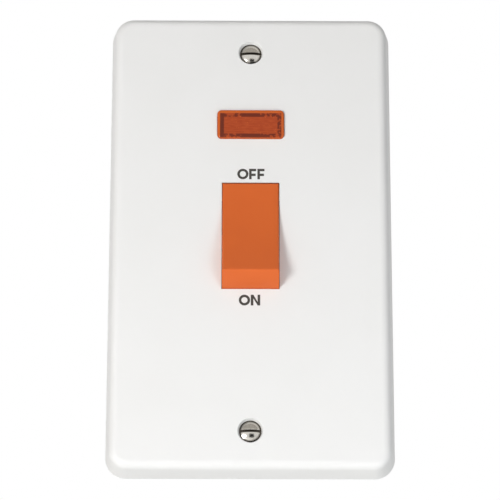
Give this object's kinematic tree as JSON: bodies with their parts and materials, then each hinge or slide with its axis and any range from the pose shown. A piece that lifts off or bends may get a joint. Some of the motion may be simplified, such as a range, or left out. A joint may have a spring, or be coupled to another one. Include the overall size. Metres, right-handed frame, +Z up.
{
  "type": "double pole switch",
  "caption": "Upright white wall plate with an orange rocker that breaks live and neutral together, a neon indicator above it and slotted fixing screws.",
  "frame": {"origin": "centre of the plate's rear rim on the wall plane, midway between the two fixing screws", "axes": "+X right, +Z up along the plate, +Y into the wall; the face looks along -Y"},
  "size_m": [0.086, 0.0332, 0.146],
  "materials": {
    "plate": "satin moulded white",
    "rocker": "satin moulded orange",
    "lens": "translucent orange-red",
    "base": "moulded dark phenolic",
    "holder": "moulded off-white",
    "plunger": "natural nylon",
    "spring": "drawn spring wire",
    "copper": "bare copper strip",
    "silver": "silver contact",
    "brass": "machined brass",
    "clamp_screw": "plated brass",
    "plate_screw": "nickel plated",
    "steel_screw": "zinc plated",
    "glass": "clear",
    "electrode": "drawn wire",
    "resistor": "lacquered",
    "lead_live": "PVC insulation",
    "lead_neutral": "PVC insulation"
  },
  "bodies": {
    "plate_and_base": {"front_plate": "plate", "switch_base": "base", "indicator_lens": "lens", "neon_holder": "holder", "neon_lamp": "glass", "lamp_electrode_upper": "electrode", "lamp_electrode_lower": "electrode", "lamp_resistor": "resistor", "earth_terminal": "brass", "earth_screw": "clamp_screw", "plate_screw_top": "plate_screw", "plate_screw_bottom": "plate_screw", "fixed_contact_live": "silver", "supply_terminal_live": "brass", "load_terminal_live": "brass", "neon_lead_live": "lead_live", "supply_screw_live_inner": "clamp_screw", "supply_screw_live_outer": "clamp_screw", "module_screw_supply_live": "steel_screw", "load_screw_live_inner": "clamp_screw", "load_screw_live_outer": "clamp_screw", "module_screw_load_live": "steel_screw", "fixed_contact_neutral": "silver", "supply_terminal_neutral": "brass", "load_terminal_neutral": "brass", "neon_lead_neutral": "lead_neutral", "supply_screw_neutral_inner": "clamp_screw", "supply_screw_neutral_outer": "clamp_screw", "module_screw_supply_neutral": "steel_screw", "load_screw_neutral_inner": "clamp_screw", "load_screw_neutral_outer": "clamp_screw", "module_screw_load_neutral": "steel_screw"},
    "rocker": {"rocker": "rocker", "plunger_spring_live": "spring", "plunger_spring_neutral": "spring"},
    "plunger_live": {"plunger_live": "plunger"},
    "contact_arm_live": {"contact_arm_live": "copper", "moving_contact_live": "silver"},
    "plunger_neutral": {"plunger_neutral": "plunger"},
    "contact_arm_neutral": {"contact_arm_neutral": "copper", "moving_contact_neutral": "silver"}
  },
  "joints": [
    {"name": "rocker_pivot", "type": "hinge", "parent": "plate_and_base", "child": "rocker", "pos_m": [0, -0.0025, 0.0005], "axis": [1, 0, 0], "range_deg": [0, 23.92]},
    {"name": "plunger_slide_live", "type": "slide", "parent": "rocker", "child": "plunger_live", "axis": [0, -0.9783, 0.2074], "range_m": [0, 0.0012], "stiffness_N_per_m": 700, "springref_m": -0.002, "deforming": ["plunger_spring_live"]},
    {"name": "arm_rock_live", "type": "hinge", "parent": "plate_and_base", "child": "contact_arm_live", "pos_m": [0.0043, 0.0098, 0.0005], "axis": [1, 0, 0], "range_deg": [-16, 0]},
    {"name": "plunger_slide_neutral", "type": "slide", "parent": "rocker", "child": "plunger_neutral", "axis": [0, -0.9783, 0.2074], "range_m": [0, 0.0012], "stiffness_N_per_m": 700, "springref_m": -0.002, "deforming": ["plunger_spring_neutral"]},
    {"name": "arm_rock_neutral", "type": "hinge", "parent": "plate_and_base", "child": "contact_arm_neutral", "pos_m": [-0.0043, 0.0098, 0.0005], "axis": [1, 0, 0], "range_deg": [-16, 0]}
  ],
  "couplings": [
    {"joint": "arm_rock_live", "follows": "rocker_pivot", "ratio": -0.66845},
    {"joint": "arm_rock_neutral", "follows": "rocker_pivot", "ratio": -0.66845}
  ]
}
